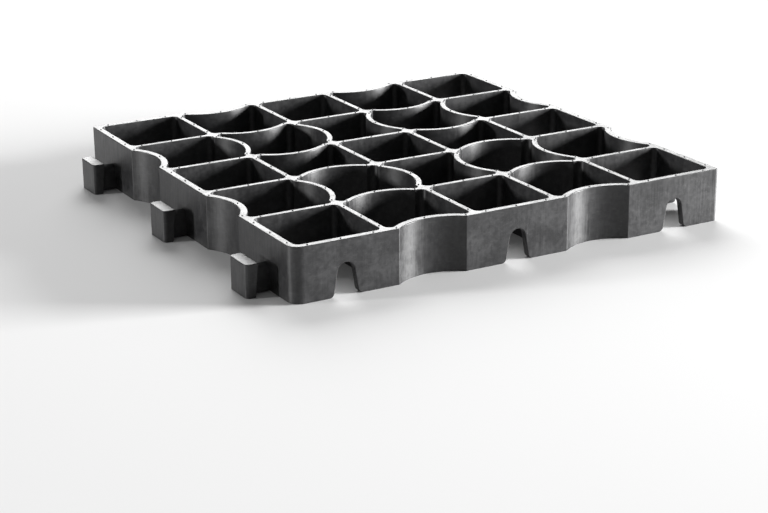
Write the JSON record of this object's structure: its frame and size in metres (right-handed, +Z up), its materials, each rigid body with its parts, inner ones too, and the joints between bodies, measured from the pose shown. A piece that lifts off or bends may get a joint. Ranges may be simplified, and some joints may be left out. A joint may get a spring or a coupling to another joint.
{
  "type": "grass paver grid",
  "caption": "Square moulded plastic ground grid of open cells with wavy walls, with hooks on two edges and matching slots on the other two.",
  "frame": {"origin": "middle of the box around the grid and its hooks, on the laying face", "axes": "+Z up from the laying face to the wall tops, -X and +Y towards the edges with hooks"},
  "size_m": [0.353, 0.353, 0.038],
  "materials": {
    "body": "satin moulded"
  },
  "bodies": {
    "root": {"paver_grid": "body"}
  },
  "joints": []
}
